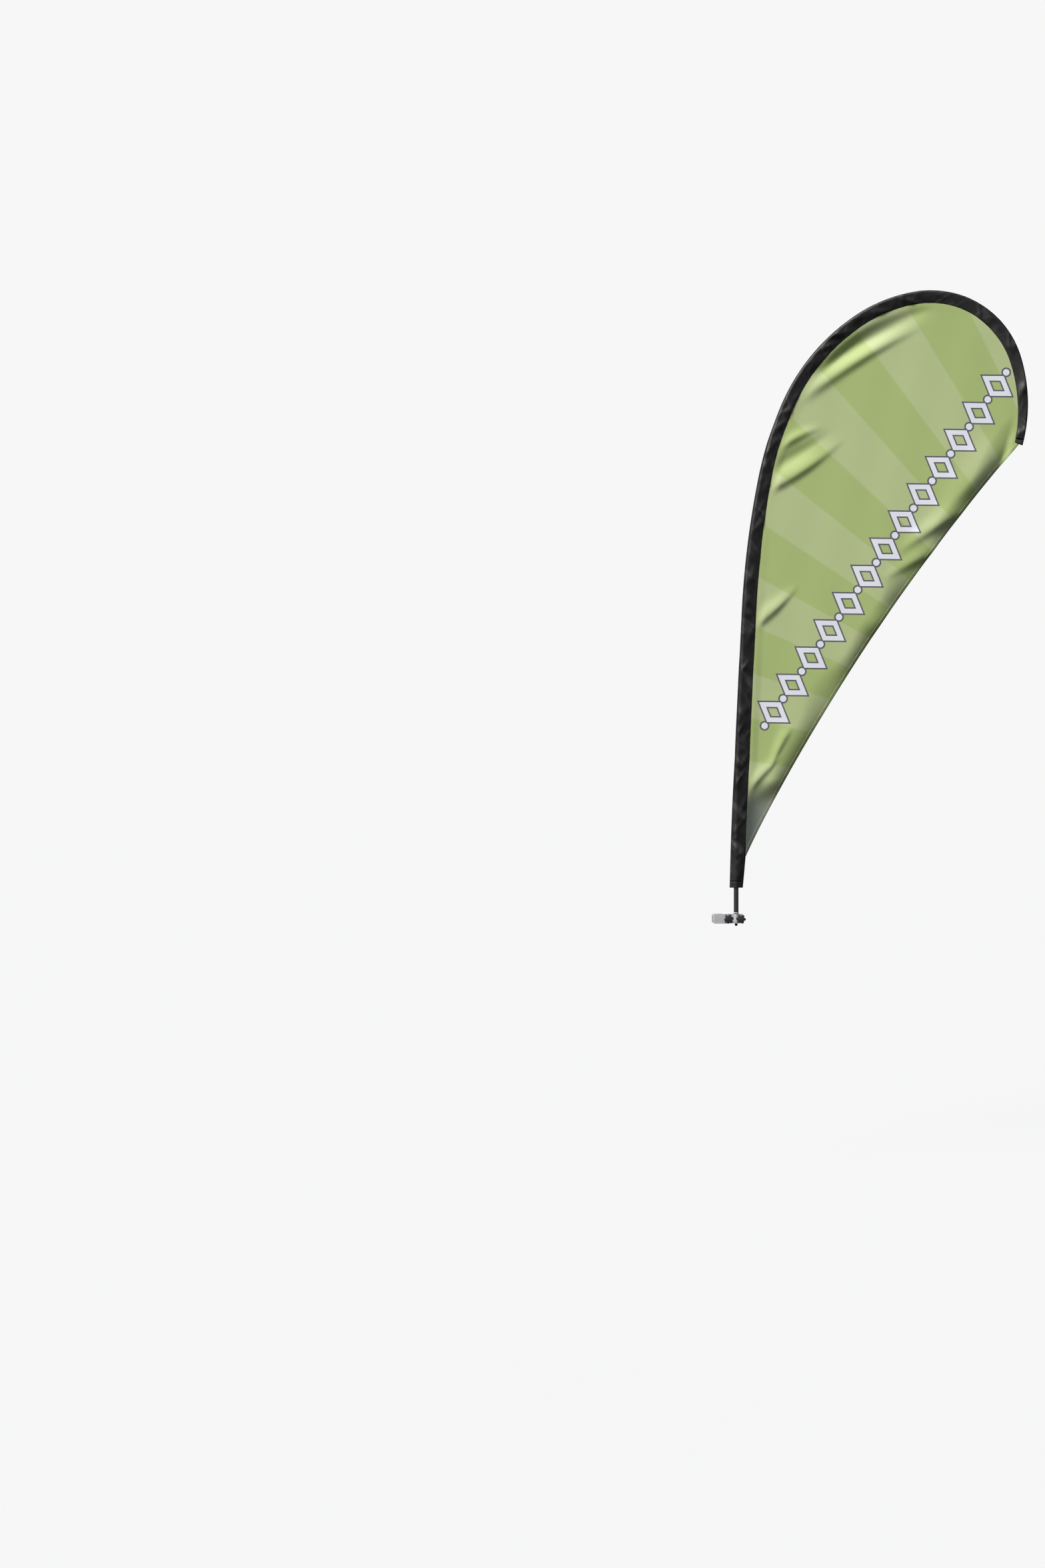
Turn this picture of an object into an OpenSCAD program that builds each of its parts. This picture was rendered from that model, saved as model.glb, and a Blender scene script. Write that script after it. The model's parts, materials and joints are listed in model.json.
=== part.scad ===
// Teardrop flag on a tent-leg bracket
//
// A two-jaw bracket grips a square tent leg and a vertical spindle. A four-piece bent pole turns on
// the spindle and lifts off it. A fabric panel hangs from the pole by a long sleeve.
//
// Origin: centre of the tent leg at mid-height of the jaws. +Z is up, the knobs face -Y,
// and the flag reaches along +X. All sizes are in millimetres.

/* [Tent leg and jaws] */
// Side of the square tent leg, which is also the opening between the closed jaws
leg_w = 42; // [38:1:50]
// Height of both jaws
jaw_h = 35.5; // [25:0.5:60]
// Thickness of the jaw plate
jaw_t = 2.5; // [2:0.5:4]
// Gap left between the flanges of the closed jaws
jaw_gap = 3; // [2:0.5:6]
// Rounding of the jaws' free corners
jaw_corner_r = 8; // [2:1:14]
// Distance from the leg's centre to the spindle
spindle_x = 64; // [58:1:80]

/* [Bolts and knobs] */
// Left bolt, measured from the spindle
bolt_left = -30; // [-34:1:-26]
// Right bolt, measured from the spindle
bolt_right = 14; // [14:1:20]
// Thread diameter of the two bolts
bolt_d = 6; // [5:1:6]
// Diameter of a knob over its lobes
knob_d = 35; // [30:1:40]
// Thickness of a knob's lobed head
knob_head_h = 14; // [10:1:18]
// Length of the neck behind a knob's head
knob_neck_h = 20; // [19:1:26]
// Number of lobes on a knob
knob_lobes = 6; // [5:1:8]

/* [Spindle] */
// Diameter of the spindle and of the pin the pole turns on
spindle_d = 12; // [10:1:12]
// Length of the pin above the shoulder
pin_h = 130; // [80:5:180]

/* [Pole] */
// Outer diameter of the base section
base_d = 17.4; // [16:0.1:18]
// Outer diameter of the lower middle section
lower_mid_d = 15.4; // [14:0.1:16]
// Outer diameter of the upper middle section
upper_mid_d = 12; // [11:0.1:13]
// Outer diameter of the tip section at its joint
tip_d = 9; // [7:0.1:10]
// Length of the lower three pole sections, along the pole
section_len = 850; // [800:10:860]
// Length of a joint's spigot on each side of the joint
spigot_len = 80; // [50:5:120]

/* [Flag] */
// Thickness of the fabric panel
panel_t = 0.6; // [0.4:0.1:1]
// Depth of the hollow in the trailing edge
trail_hollow = 44; // [20:1:90]
// Width of the hem along the trailing edge
hem_w = 12; // [8:1:20]
// Where the sleeve starts, along the pole from its foot
sleeve_start = 89; // [80:1:140]
// Where the panel's lower corner meets the sleeve, along the pole
panel_start = 203; // [180:1:260]
// Wall of the sleeve
sleeve_wall = 0.8; // [0.6:0.1:1.5]

/* [Hidden] */
$fn = 48;
eps = 0.02;
shoulder_lift = 0.25;
tube_wall = 2;
shoulder_d = 19;
shoulder_h = 3;
washer_h = 1.5;
bush_flange_h = 1.5;
run_gap = 0.05;

shoulder_z = jaw_h / 2 + shoulder_lift;
washer_z = shoulder_z + shoulder_h + 0.05;
bush_z = washer_z + washer_h + 0.05;
foot_z = bush_z + bush_flange_h;
pin_top = shoulder_z + shoulder_h + pin_h;
base_sides = 24;
bush_r = (base_d / 2 - tube_wall) * cos(180 / base_sides) - 0.02;

flange_in = jaw_gap / 2;
flange_out = flange_in + jaw_t;
bolt_xs = [spindle_x + bolt_left, spindle_x + bolt_right];
knob_back = flange_out + 1.6;
bolt_end = knob_back + 27;
jaw_right = spindle_x + bolt_right + 12;

// The pole's curve: [length, turn] of each arc, from the foot to the tip
spine = [
    [196, 0], [500, 2.7], [400, 0], [500, 8.6], [270, 11],
    [450, 34.5], [240, 25.3], [470, 80.5], [340, 33.1]
];
pole_len = 3337;
pocket_start = 3340;
sleeve_end = 3355;

// [distance along the pole, value] tables, read by look()
sleeve_outer = [
    [0, 24], [91, 24], [560, 11.8], [900, 11.6], [960, 10.7],
    [1730, 10.6], [1800, 8.9], [2550, 8.8], [2640, 7.5], [3370, 6.6]
];
sleeve_width = [
    [0, 48], [91, 49], [200, 56], [1250, 54], [1700, 47],
    [2400, 47], [2900, 50], [3150, 41], [3370, 30.5]
];
pole_room = [
    [0, 8.7], [900, 8.7], [960, 7.7], [1730, 7.7], [1800, 6],
    [2550, 6], [2640, 4.5], [3370, 3.7]
];

// ---------------------------------------------------------------- helpers

// Linear reading of a [position, value] table
function look(s, t, i = 0) =
    s <= t[0][0] ? t[0][1]
    : i >= len(t) - 1 ? t[len(t) - 1][1]
    : s <= t[i + 1][0]
        ? t[i][1] + (t[i + 1][1] - t[i][1]) * (s - t[i][0]) / (t[i + 1][0] - t[i][0])
        : look(s, t, i + 1);

// Pose [x, z, heading] after going l along an arc that turns by a degrees; heading 0 is up
function along(p, l, a) =
    abs(a) < 0.001
        ? [p[0] + l * sin(p[2]), p[1] + l * cos(p[2]), p[2]]
        : let (r = l / (a * PI / 180))
            [p[0] + r * (cos(p[2]) - cos(p[2] + a)), p[1] + r * (sin(p[2] + a) - sin(p[2])), p[2] + a];

function arc_pose(i) = i == 0 ? [0, foot_z, 0] : along(arc_pose(i - 1), spine[i - 1][0], spine[i - 1][1]);
function arc_start(i) = i == 0 ? 0 : arc_start(i - 1) + spine[i - 1][0];

// Pose of the pole's centreline at distance s from its foot
function station(s, i = 0) =
    i == len(spine) - 1 || s <= arc_start(i + 1)
        ? along(arc_pose(i), s - arc_start(i), spine[i][1] * (s - arc_start(i)) / spine[i][0])
        : station(s, i + 1);

// Point at distance s along the pole and u across it; u is positive towards the panel
function beside(s, u) = let (p = station(s)) [p[0] + u * cos(p[2]), p[1] - u * sin(p[2])];

// Distances from s0 to s1 at which a sweep is cut: its chords stay within tol of the arcs,
// and none is over the longest
function arc_cuts(i, tol, longest) = max(
    ceil(spine[i][0] / longest),
    spine[i][1] == 0 ? 1 : ceil(spine[i][0] / sqrt(8 * tol * spine[i][0] / (spine[i][1] * PI / 180)))
);
function stops(s0, s1, tol = 0.06, longest = 1000) = concat(
    [s0],
    [for (i = [0 : len(spine) - 1], n = [arc_cuts(i, tol, longest)], j = [0 : n - 1])
        let (s = arc_start(i) + spine[i][0] * j / n) if (s > s0 + 2 && s < s1 - 2) s],
    [s1]
);

// Bent rod or tube along the pole, from [distance, diameter] pairs
module rod(sizes, bore = 0, sides = 16) {
    at_d = [for (i = [0 : len(sizes) - 2]) each
        [for (s = stops(sizes[i][0], sizes[i + 1][0])) [s, sizes[i][1]
            + (sizes[i + 1][1] - sizes[i][1]) * (s - sizes[i][0]) / (sizes[i + 1][0] - sizes[i][0])]]];
    rings = [for (q = at_d) round_ring(q[0], q[1], sides)];
    holes = bore == 0 ? [] : [for (q = at_d) round_ring(q[0], bore, sides)];
    skin(rings, holes);
}
function round_ring(s, d, sides) =
    [for (j = [0 : sides - 1]) let (t = 180 - 360 * j / sides, p = beside(s, d / 2 * cos(t)))
        [p[0], d / 2 * sin(t), p[1]]];

// Single bent tube inside one arc of the spine
module arc_tube(s0, s1, d, bore) {
    p = station(s0);
    q = station(s1);
    turn = q[2] - p[2];
    r = turn == 0 ? 0 : (s1 - s0) / (turn * PI / 180);
    if (turn == 0)
        translate([p[0], 0, p[1]]) rotate([0, p[2], 0]) difference() {
            cylinder(d = d, h = s1 - s0);
            translate([0, 0, -1]) cylinder(d = bore, h = s1 - s0 + 2);
        }
    else
        translate([p[0] + r * cos(p[2]), 0, p[1] - r * sin(p[2])])
            rotate([90, 0, 0]) rotate([0, 0, 180 - p[2] - turn])
                rotate_extrude(angle = turn) translate([r, 0]) difference() {
                    circle(d = d);
                    circle(d = bore);
                }
}

// Half outline of the sleeve's section: from the outer fold (-a) over the pole to the seam (b)
function half_section(a, b, r, e, n = 7) =
    let (
        da = norm([a, e]), db = norm([b, e]),
        t1 = 180 - atan2(e, a) - acos(min(1, r / da)),
        t0 = atan2(e, b) + acos(min(1, r / db))
    )
    concat(
        [[-a, e]],
        [for (i = [0 : n]) let (t = t1 + (t0 - t1) * i / n) [r * cos(t), r * sin(t)]],
        [[b, e]]
    );
function full_section(a, b, r, e) =
    let (h = half_section(a, b, r, e))
    concat(h, [for (i = [len(h) - 1 : -1 : 0]) [h[i][0], -h[i][1]]]);

// Ring of points around the sleeve at distance s, skewed along the pole by slant
function ring(s, wall, slant = 0) =
    let (
        a = look(s, sleeve_outer), w = look(s, sleeve_width), r = look(s, pole_room) + 1.3 + sleeve_wall,
        sec = wall == 0
            ? full_section(a, w - a, r, 0.8)
            : full_section(a - 0.3, w - a - 7, r - wall, 0.15)
    )
    [for (q = sec) let (p = beside(s + slant * (0.5 - (q[0] + a) / w), q[0])) [p[0], q[1], p[1]]];

// Closed skin through a list of rings, hollow if it is given inner rings too
module skin(rings, holes) {
    n = len(rings[0]);
    m = len(rings);
    off = n * m;
    hollow = len(holes) > 0;
    points = concat([for (r = rings) each r], [for (r = holes) each r]);
    sides = [for (i = [0 : m - 2], j = [0 : n - 1]) let (a = i * n + j, b = i * n + (j + 1) % n) each [
        [a, b + n, b], [a, a + n, b + n]
    ]];
    inner = [for (f = sides) [off + f[0], off + f[2], off + f[1]]];
    last = n * (m - 1);
    ends = !hollow
        ? [[for (j = [0 : n - 1]) j], [for (j = [n - 1 : -1 : 0]) last + j]]
        : [for (j = [0 : n - 1]) let (k = (j + 1) % n) each [
            [j, k, off + k], [j, off + k, off + j],
            [last + k, last + j, off + last + j], [last + k, off + last + j, off + last + k]
        ]];
    polyhedron(points, concat(sides, hollow ? inner : [], ends), 10);
}

// Fabric tube through the rings at the listed distances: hollow, or solid if wall is 0
module swept(cuts, wall, slant = 0) {
    last = len(cuts) - 1;
    translate([spindle_x, 0, 0]) skin(
        [for (i = [0 : last]) ring(cuts[i], 0, i == last ? slant : 0)],
        wall == 0 ? [] : [for (i = [0 : last]) ring(cuts[i], wall, i == last ? slant : 0)]
    );
}

// ---------------------------------------------------------------- jaws

module bend(x, y, r_in, a0) {
    translate([x, y]) intersection() {
        difference() {
            circle(r_in + jaw_t);
            circle(r_in);
        }
        rotate(a0) square(r_in + jaw_t + 1);
    }
}

// Plan of the front jaw, bent round the leg and the spindle
module jaw_plan() {
    h = leg_w / 2;
    r = 1.5;
    br = 2;
    sr = spindle_d / 2;
    left = spindle_x - sqrt(pow(sr + jaw_t, 2) - pow(flange_out, 2));
    right = 2 * spindle_x - left;
    // left lip, front wall and the wall between leg and spindle
    translate([-h - jaw_t, -h + r]) square([jaw_t, h - r - flange_in]);
    bend(-h + r, -h + r, r, 180);
    translate([-h + r, -h - jaw_t]) square([leg_w - 2 * r, jaw_t]);
    bend(h - r, -h + r, r, 270);
    translate([h, -h + r]) square([jaw_t, h - r - flange_out - br]);
    bend(h + jaw_t + br, -flange_out - br, br, 90);
    // flanges either side of the half-round
    translate([h + jaw_t + br, -flange_out]) square([left - h - jaw_t - br + 0.5, jaw_t]);
    translate([right - 0.5, -flange_out]) square([jaw_right - right + 0.5, jaw_t]);
    translate([spindle_x, 0]) intersection() {
        difference() {
            circle(sr + jaw_t);
            circle(sr);
        }
        translate([-sr - jaw_t, -sr - jaw_t]) square([2 * (sr + jaw_t), sr + jaw_t - flange_in]);
    }
}

// Side view used to round the free corners
module jaw_side() {
    x0 = -leg_w / 2 - jaw_t;
    r = jaw_corner_r;
    union() {
        translate([x0 + r, -jaw_h / 2]) square([jaw_right - x0 - 2 * r, jaw_h]);
        translate([x0, -jaw_h / 2 + r]) square([jaw_right - x0, jaw_h - 2 * r]);
        for (x = [x0 + r, jaw_right - r], z = [-1, 1]) translate([x, z * (jaw_h / 2 - r)]) circle(r);
    }
}

module jaw_body() {
    intersection() {
        translate([0, 0, -jaw_h / 2]) linear_extrude(jaw_h) jaw_plan();
        translate([0, 1, 0]) rotate([90, 0, 0]) linear_extrude(leg_w) jaw_side();
    }
}

module front_jaw() {
    color([0.72, 0.73, 0.75]) difference() {
        jaw_body();
        for (x = bolt_xs) translate([x, 1, 0]) rotate([90, 0, 0]) cylinder(d = bolt_d + 0.6, h = 12);
    }
}

module back_jaw() {
    color([0.72, 0.73, 0.75]) difference() {
        mirror([0, 1, 0]) jaw_body();
        for (x = bolt_xs) translate([x, 3, 0]) cube([bolt_d + 0.2, 12, bolt_d + 0.2], center = true);
    }
}

// ---------------------------------------------------------------- bolts and knobs

module clamp_bolts() {
    color([0.66, 0.67, 0.69]) for (x = bolt_xs) translate([x, 0, 0]) rotate([90, 0, 0]) {
        translate([0, 0, -flange_out]) cylinder(d = bolt_d, h = flange_out + bolt_end);
        translate([0, 0, -flange_out / 2 - flange_in / 2]) cube([bolt_d, bolt_d, jaw_t + eps], center = true);
        intersection() {
            translate([0, 0, -flange_out - 3.2]) cylinder(d = 13, h = 3.2);
            translate([0, 0, 2.6]) sphere(10);
        }
    }
}

module knob_washers() {
    color([0.7, 0.71, 0.73]) for (x = bolt_xs)
        translate([x, -flange_out, 0]) rotate([90, 0, 0]) difference() {
        cylinder(d = 12, h = 1.6);
        translate([0, 0, -1]) cylinder(d = bolt_d + 0.5, h = 4);
    }
}

// Star knob with a neck; z runs from its back face to the front
module knob(phase) {
    lobe_r = knob_d * 0.15;
    depth = knob_neck_h + knob_head_h;
    rotate([90, 0, 0]) difference() {
        union() {
            cylinder(d = 14, h = knob_neck_h + 1);
            intersection() {
                translate([0, 0, knob_neck_h]) linear_extrude(knob_head_h) union() {
                    circle(knob_d * 0.36);
                    for (i = [0 : knob_lobes - 1]) rotate(phase + i * 360 / knob_lobes)
                        translate([knob_d / 2 - lobe_r, 0]) circle(lobe_r);
                }
                translate([0, 0, depth - 60]) sphere(60);
                translate([0, 0, knob_neck_h])
                    cylinder(r1 = knob_d / 2 - 2.5, r2 = knob_d / 2 + 11.5, h = 14);
            }
        }
        translate([0, 0, -1]) cylinder(d = 10, h = depth - 4 + 1);
    }
}

module left_knob() {
    color([0.06, 0.06, 0.065]) translate([bolt_xs[0], -knob_back, 0]) knob(12);
}

module right_knob() {
    color([0.06, 0.06, 0.065]) translate([bolt_xs[1], -knob_back, 0]) knob(-5);
}

// Threaded insert pressed into a knob
module insert() {
    rotate([90, 0, 0]) difference() {
        cylinder(d = 10, h = 28);
        translate([0, 0, -1]) cylinder(d = bolt_d + 2 * run_gap, h = 30);
    }
}

module left_knob_insert() {
    color([0.78, 0.62, 0.3]) translate([bolt_xs[0], -knob_back, 0]) insert();
}

module right_knob_insert() {
    color([0.78, 0.62, 0.3]) translate([bolt_xs[1], -knob_back, 0]) insert();
}

// ---------------------------------------------------------------- spindle

module spindle() {
    low = -jaw_h / 2 - 1;
    r = spindle_d / 2;
    color([0.76, 0.77, 0.79]) translate([spindle_x, 0, 0]) rotate_extrude() polygon([
        [0, low - 4], [2.5, low - 4], [2.5, low], [r, low], [r, shoulder_z],
        [shoulder_d / 2, shoulder_z], [shoulder_d / 2, shoulder_z + shoulder_h], [r, shoulder_z + shoulder_h],
        [r, pin_top - 3], [r - 3, pin_top], [0, pin_top]
    ]);
}

module spindle_end_cap() {
    color([0.09, 0.09, 0.1]) translate([spindle_x, 0, -jaw_h / 2 - 1]) difference() {
        translate([0, 0, -3.6]) sphere(5.5);
        translate([0, 0, 3]) cube([20, 20, 6], center = true);
        translate([0, 0, -4]) cylinder(d = 5, h = 5);
    }
}

// ---------------------------------------------------------------- swivel

module thrust_washer() {
    color([0.92, 0.92, 0.9]) translate([spindle_x, 0, washer_z]) difference() {
        cylinder(d = 18, h = washer_h);
        translate([0, 0, -1]) cylinder(d = spindle_d + 2 * run_gap, h = washer_h + 2);
    }
}

module foot_bush() {
    color([0.1, 0.1, 0.1]) translate([spindle_x, 0, bush_z]) difference() {
        union() {
            cylinder(d = base_d, h = bush_flange_h);
            cylinder(r = bush_r, h = 22);
        }
        translate([0, 0, -1]) cylinder(d = spindle_d + 2 * run_gap, h = 24);
    }
}

module guide_bush() {
    color([0.1, 0.1, 0.1]) translate([spindle_x, 0, pin_top - 26]) difference() {
        cylinder(r = bush_r, h = 20);
        translate([0, 0, -1]) cylinder(d = spindle_d + 2 * run_gap, h = 22);
    }
}

// ---------------------------------------------------------------- pole

joint_1 = section_len;
joint_2 = 2 * section_len;
joint_3 = 3 * section_len;
base_bore = base_d - 2 * tube_wall;
lower_mid_bore = lower_mid_d - 2 * tube_wall;
upper_mid_bore = upper_mid_d - 2 * tube_wall;
tip_bore = 6;

module along_pole(shade) {
    color([shade, shade, shade + 0.01]) translate([spindle_x, 0, 0]) children();
}

module base_pole() along_pole(0.17) rod([[0, base_d], [joint_1, base_d]], base_bore, base_sides);
module lower_mid_pole() along_pole(0.17)
    rod([[joint_1, lower_mid_d], [joint_2, lower_mid_d]], lower_mid_bore);
module upper_mid_pole() along_pole(0.17)
    rod([[joint_2, upper_mid_d], [joint_3, upper_mid_d]], upper_mid_bore);
module tip_rod() along_pole(0.2) rod([[joint_3, tip_d], [pole_len - 8, 7.4]], tip_bore);

module joint_1_ferrule() along_pole(0.62) arc_tube(joint_1 - 40, joint_1, base_d + 2, base_d);
module joint_2_ferrule() along_pole(0.62) arc_tube(joint_2 - 40, joint_2, lower_mid_d + 2, lower_mid_d);
module joint_3_ferrule() along_pole(0.62) arc_tube(joint_3 - 40, joint_3, upper_mid_d + 2, upper_mid_d);

// Spigot: glued in the upper section, sliding in the lower one
module spigot(s, bore_low, bore_high) {
    lo = bore_low - 0.4;
    hi = bore_high - 0.4;
    rod([[s - spigot_len, lo], [s - 1.5, lo], [s - 0.5, hi], [s + spigot_len, hi]]);
}

module joint_1_spigot() along_pole(0.3) spigot(joint_1, base_bore, lower_mid_bore);
module joint_2_spigot() along_pole(0.3) spigot(joint_2, lower_mid_bore, upper_mid_bore);
module joint_3_spigot() along_pole(0.3) spigot(joint_3, upper_mid_bore, tip_bore);

module tip_cap() {
    p = station(pole_len - 8);
    color([0.1, 0.1, 0.1]) translate([spindle_x + p[0], 0, p[1]]) rotate([0, p[2], 0]) {
        cylinder(r = 3.6, h = 6);
        translate([0, 0, 6]) sphere(3.6);
    }
}

// ---------------------------------------------------------------- tension loop

loop_r = 2;
loop_half = 4.6;
loop_y = 13.1;
hook_z = foot_z + 40;
tab_top = foot_z + sleeve_start + 20;

// Hook bonded to the back of the pole; the loop pulls up against its arm
module loop_hook() {
    color([0.1, 0.1, 0.1]) translate([spindle_x, 0, hook_z]) difference() {
        union() {
            translate([-6, 4, -14]) cube([12, 6.6, 24]);
            translate([-2.3, 10, 0]) cube([4.6, 7.4, 4]);
            translate([-2.3, 15.6, -5]) cube([4.6, 1.8, 6]);
        }
        translate([0, 0, -15]) cylinder(d = base_d, h = 30);
    }
}

// Elastic cord loop: two legs up to the hem and a bight under the hook
module elastic_loop() {
    leg_z = hook_z - loop_r - 0.1;
    color([0.12, 0.12, 0.12]) translate([spindle_x, loop_y, 0]) {
        for (x = [-1, 1]) translate([x * loop_half, 0, leg_z]) cylinder(r = loop_r, h = tab_top - 4 - leg_z);
        translate([0, 0, leg_z]) rotate([90, 0, 0]) rotate([0, 0, 180])
            rotate_extrude(angle = 180) translate([loop_half, 0]) circle(loop_r);
    }
}

// Patch that sews the loop's legs to the hem
module loop_tab() {
    color([0.11, 0.11, 0.115]) translate([spindle_x, 0, 0]) difference() {
        translate([-9, 11, foot_z + sleeve_start + 1]) cube([18, 5.3, 19]);
        for (x = [-1, 1]) translate([x * loop_half, loop_y, foot_z + sleeve_start])
            cylinder(r = loop_r, h = 30);
    }
}

// ---------------------------------------------------------------- fabric

hem_top = sleeve_start + 22;
module sleeve_hem() {
    color([0.11, 0.11, 0.115]) swept([sleeve_start, sleeve_start + 11, hem_top], sleeve_wall);
}

module pole_sleeve() {
    color([0.12, 0.12, 0.125]) swept(stops(hem_top + 0.3, pocket_start - 2, 0.12, 70), sleeve_wall);
}

module tip_pocket() {
    color([0.1, 0.1, 0.105]) swept([pocket_start, pocket_start + 7, sleeve_end], 0, 4);
}

seam_gap = 0.3;
panel_stops = concat([panel_start], [for (s = [panel_start + 20 : 20 : 3330]) s], [sleeve_end - 5]);
seam_line = [for (s = panel_stops) beside(s, look(s, sleeve_width) - look(s, sleeve_outer) + seam_gap)];

// Trailing edge: a hollow arc from the tip to the lower corner
corner_a = seam_line[len(seam_line) - 1];
corner_b = seam_line[0];
half_chord = norm(corner_a - corner_b) / 2;
trail_r = (pow(half_chord, 2) + pow(trail_hollow, 2)) / (2 * trail_hollow);
trail_dir = (corner_b - corner_a) / norm(corner_b - corner_a);
trail_centre = (corner_a + corner_b) / 2 + (trail_r - trail_hollow) * [-trail_dir[1], trail_dir[0]];

trail_angle = atan2(-trail_dir[0], trail_dir[1]);
trail_span = 8;

// Sector of the trailing edge's disc, grown by extra
module trail_disc(extra) {
    translate(trail_centre) polygon(concat([[0, 0]], [for (t = [-trail_span : 0.2 : trail_span])
        (trail_r + extra) * [cos(trail_angle + t), sin(trail_angle + t)]]));
}

module flat(t) {
    translate([spindle_x, t / 2, 0]) rotate([90, 0, 0]) linear_extrude(t) children();
}

module flag_panel() {
    color([0.66, 0.72, 0.47]) flat(panel_t) difference() {
        polygon(seam_line);
        trail_disc(hem_w);
    }
}

module trailing_hem() {
    color([0.62, 0.69, 0.42]) flat(panel_t + 0.8) intersection() {
        difference() {
            polygon(seam_line);
            trail_disc(0);
        }
        trail_disc(hem_w);
    }
}

// ---------------------------------------------------------------- parts

back_jaw();
front_jaw();
clamp_bolts();
knob_washers();
left_knob();
left_knob_insert();
right_knob();
right_knob_insert();
spindle();
spindle_end_cap();
thrust_washer();
foot_bush();
guide_bush();
base_pole();
joint_1_ferrule();
joint_1_spigot();
lower_mid_pole();
joint_2_ferrule();
joint_2_spigot();
upper_mid_pole();
joint_3_ferrule();
joint_3_spigot();
tip_rod();
tip_cap();
loop_hook();
elastic_loop();
loop_tab();
sleeve_hem();
pole_sleeve();
tip_pocket();
flag_panel();
trailing_hem();
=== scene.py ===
"""Looks of a teardrop flag on its tent-leg bracket.

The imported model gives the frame. Soft parts (panel, hem, sleeve, loop and patch) are sewn here from
the same curve of the pole, the hardware keeps its solids and gets its finishes, and a stage with
soft light and a camera stands round it. Run it as a script; it is laid out as an add-on.
"""

import json
import math
from functools import partial

import bmesh
import bpy
import numpy as np
from bpy.props import FloatProperty, FloatVectorProperty, IntProperty, PointerProperty
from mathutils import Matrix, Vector

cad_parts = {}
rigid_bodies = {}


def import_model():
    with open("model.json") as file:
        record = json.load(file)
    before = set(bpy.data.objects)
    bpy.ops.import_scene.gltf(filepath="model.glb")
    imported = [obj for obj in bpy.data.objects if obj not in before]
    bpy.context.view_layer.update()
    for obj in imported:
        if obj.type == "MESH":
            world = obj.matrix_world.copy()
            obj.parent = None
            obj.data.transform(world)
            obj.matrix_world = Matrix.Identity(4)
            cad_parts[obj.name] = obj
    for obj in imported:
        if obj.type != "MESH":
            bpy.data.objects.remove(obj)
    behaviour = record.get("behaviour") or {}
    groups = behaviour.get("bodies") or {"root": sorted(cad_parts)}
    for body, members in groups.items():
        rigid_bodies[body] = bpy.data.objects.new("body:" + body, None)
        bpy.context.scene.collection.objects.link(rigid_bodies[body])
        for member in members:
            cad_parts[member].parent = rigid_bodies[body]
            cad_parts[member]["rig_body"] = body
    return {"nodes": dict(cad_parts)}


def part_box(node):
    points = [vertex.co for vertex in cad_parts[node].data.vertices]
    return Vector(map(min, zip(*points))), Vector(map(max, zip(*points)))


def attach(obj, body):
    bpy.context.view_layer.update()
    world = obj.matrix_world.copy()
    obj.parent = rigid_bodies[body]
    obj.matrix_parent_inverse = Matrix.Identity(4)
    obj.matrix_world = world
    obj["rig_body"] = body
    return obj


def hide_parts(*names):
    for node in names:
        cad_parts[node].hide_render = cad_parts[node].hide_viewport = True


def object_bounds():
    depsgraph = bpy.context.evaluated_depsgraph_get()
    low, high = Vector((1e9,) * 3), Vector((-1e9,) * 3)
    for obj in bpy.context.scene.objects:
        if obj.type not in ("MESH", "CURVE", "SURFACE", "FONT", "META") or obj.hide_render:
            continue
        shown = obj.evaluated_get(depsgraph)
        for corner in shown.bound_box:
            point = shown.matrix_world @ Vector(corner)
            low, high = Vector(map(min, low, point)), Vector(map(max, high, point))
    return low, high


bl_info = {
    "name": "Teardrop flag",
    "version": (1, 0, 0),
    "blender": (4, 5, 0),
    "location": "View3D > Sidebar > Flag",
    "description": "Sews and finishes a teardrop flag on a tent-leg bracket",
    "category": "Object",
}

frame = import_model()
CAD_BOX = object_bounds()

# ------------------------------------------------------------------ the pole's curve

# [length in metres, turn in degrees] of each arc of the pole, from its foot to its tip
ARCS = (
    (0.196, 0.0), (0.500, 2.7), (0.400, 0.0), (0.500, 8.6), (0.270, 11.0),
    (0.450, 34.5), (0.240, 25.3), (0.470, 80.5), (0.340, 33.1),
)
SPINDLE_X = (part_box("spindle")[0][0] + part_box("spindle")[1][0]) / 2
FOOT_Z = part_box("base_pole")[0][2]
SLEEVE_FOOT, HEM_TOP, SLEEVE_TIP, POCKET_TIP = 0.089, 0.111, 3.339, 3.355
PANEL_START, PANEL_END = 0.203, 3.350
# how hollow the trailing edge is, and where it runs into the end of the tip patch (along, across)
TRAIL_HOLLOW, TRAIL_TOP = 0.056, (3.3562, 0.0065)

# distance along the pole against the fold's distance outside it, the sleeve's width and its room
SLEEVE_OUTER = ((0, 0.091, 0.56, 0.9, 0.96, 1.73, 1.8, 2.55, 2.64, 3.37),
                (0.024, 0.024, 0.0118, 0.0116, 0.0107, 0.0106, 0.0089, 0.0088, 0.0075, 0.0066))
SLEEVE_WIDTH = ((0, 0.091, 0.2, 1.25, 1.7, 2.4, 2.9, 3.15, 3.37),
                (0.048, 0.049, 0.056, 0.054, 0.047, 0.047, 0.05, 0.041, 0.0305))
POLE_ROOM = ((0, 0.9, 0.96, 1.73, 1.8, 2.55, 2.64, 3.37),
             (0.0087, 0.0087, 0.0077, 0.0077, 0.006, 0.006, 0.0045, 0.0037))
# the cloth's ease round the pole, and half the sleeve's thickness along its sewn edge
CLOTH_EASE, SEAM_HALF = 0.0021, 0.0008

# the printed rays fan out from here, the first ray at this angle above the level line
RAYS_FROM, FIRST_RAY = (SPINDLE_X + 1.809, 0.3125), math.radians(23.6)
# ends of the printed row, and height of the lower and upper edge of the painted shade that turns the lower
# corner grey
ROW_FROM, ROW_TO = (SPINDLE_X + 0.105, 0.708), (SPINDLE_X + 0.993, 2.007)
PAINTED_SHADE_BELOW = (0.40, 0.50)


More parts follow.
